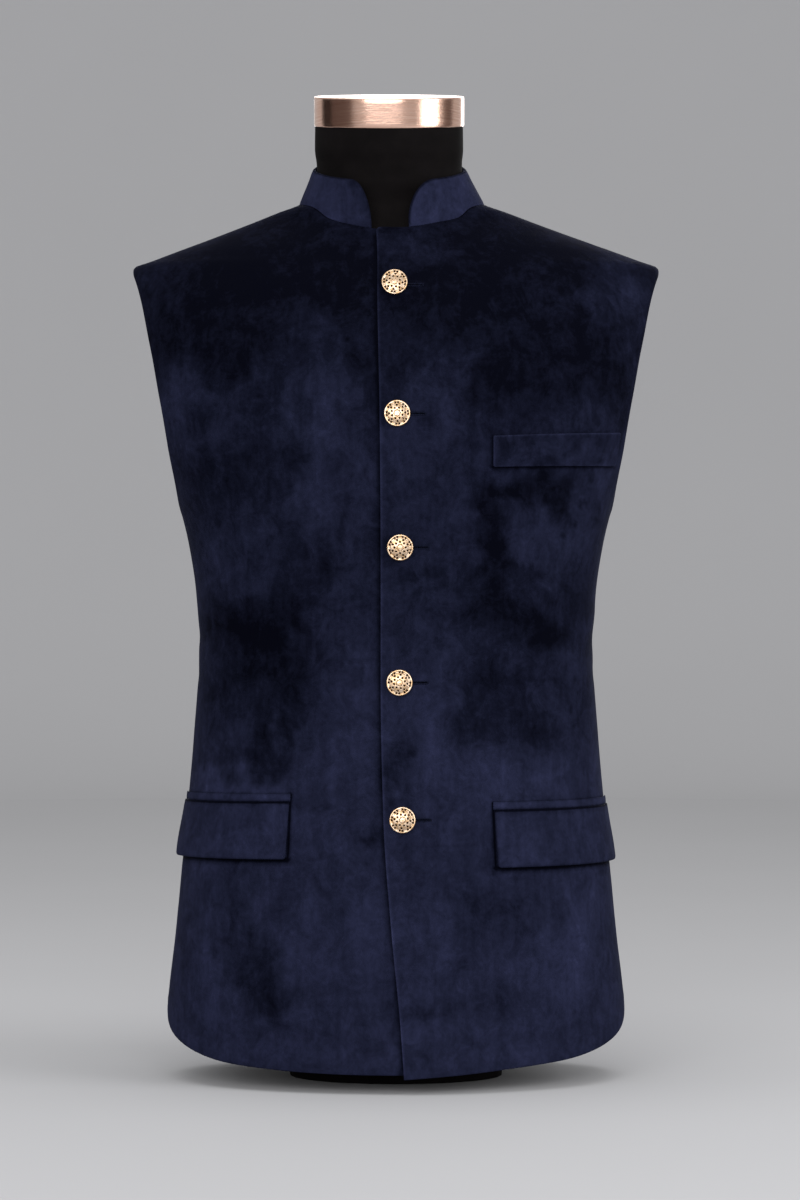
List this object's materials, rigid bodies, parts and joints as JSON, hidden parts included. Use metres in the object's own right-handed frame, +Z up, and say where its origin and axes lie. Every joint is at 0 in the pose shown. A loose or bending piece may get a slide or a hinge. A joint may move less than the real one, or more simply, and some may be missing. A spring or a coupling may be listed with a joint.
{
  "type": "nehru jacket on a dress form",
  "caption": "Sleeveless stand-collar nehru jacket in navy velvet with domed metal front buttons, a chest welt and hip flap pockets, on a black countertop dress form with a metal neck cap.",
  "frame": {"origin": "centre of the flat foot under the dress form", "axes": "+Z up, the front faces -Y, +X is the wearer's left"},
  "size_m": [0.4365, 0.2493, 0.8209],
  "materials": {
    "navy_velvet": "short-pile cotton velvet, dark navy, brushed in patches",
    "button_brass": "polished pale gold brass with darkened recesses",
    "form_jersey": "plain black jersey stretched over the form",
    "rose_gold": "satin rose-gold plated steel, brushed round"
  },
  "bodies": {
    "root": {"front_left": "navy_velvet", "front_right": "navy_velvet", "back": "navy_velvet", "collar": "navy_velvet", "chest_welt": "navy_velvet", "hip_jet_left": "navy_velvet", "hip_jet_right": "navy_velvet", "hip_flap_left": "navy_velvet", "hip_flap_right": "navy_velvet", "button_1": "button_brass", "button_2": "button_brass", "button_3": "button_brass", "button_4": "button_brass", "button_5": "button_brass", "dress_form": "form_jersey", "neck_cap": "rose_gold"}
  },
  "joints": []
}
